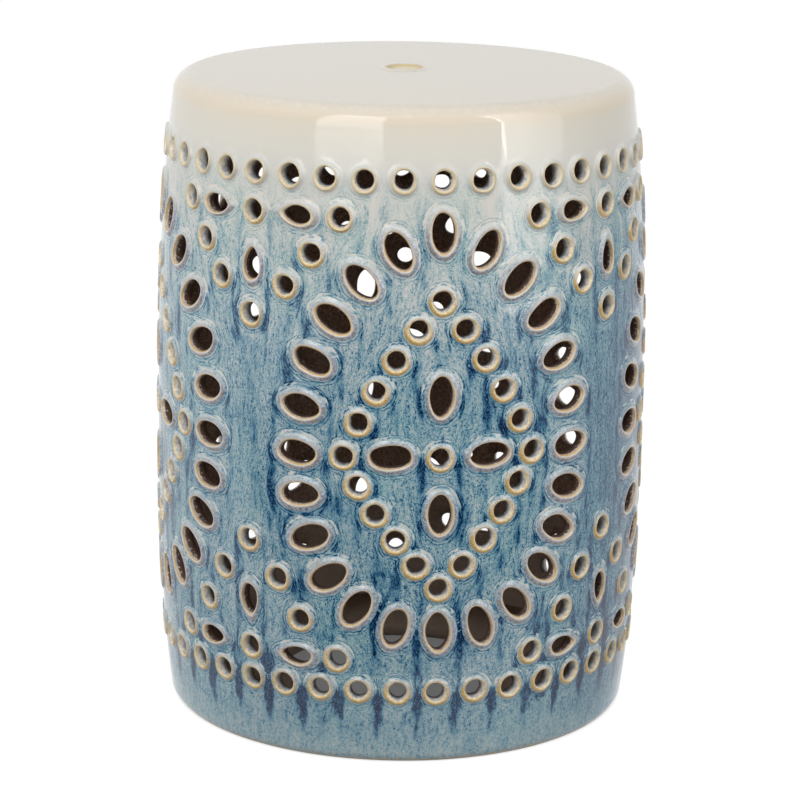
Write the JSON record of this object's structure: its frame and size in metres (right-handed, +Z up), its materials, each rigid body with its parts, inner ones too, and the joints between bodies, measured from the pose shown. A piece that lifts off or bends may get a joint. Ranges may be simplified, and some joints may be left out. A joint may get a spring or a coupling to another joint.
{
  "type": "ceramic garden stool",
  "caption": "Barrel-shaped pierced ceramic drum stool with a domed seat, a finger hole and openwork medallions.",
  "frame": {"origin": "centre of the foot, on the surface that the stool stands on", "axes": "+Z up the axis of the drum, -Y towards the middle of one medallion"},
  "size_m": [0.3512, 0.3512, 0.4572],
  "materials": {
    "glaze_cream": "glossy ivory glaze",
    "glaze_blue": "glossy running blue glaze over pale ground",
    "raw_stoneware": "matt unglazed stoneware"
  },
  "bodies": {
    "root": {"seat_cap": "glaze_cream", "finger_hole_collar": "glaze_cream", "pierced_wall": "glaze_blue", "base_hoop": "glaze_blue", "floor_ring": "raw_stoneware"}
  },
  "joints": []
}
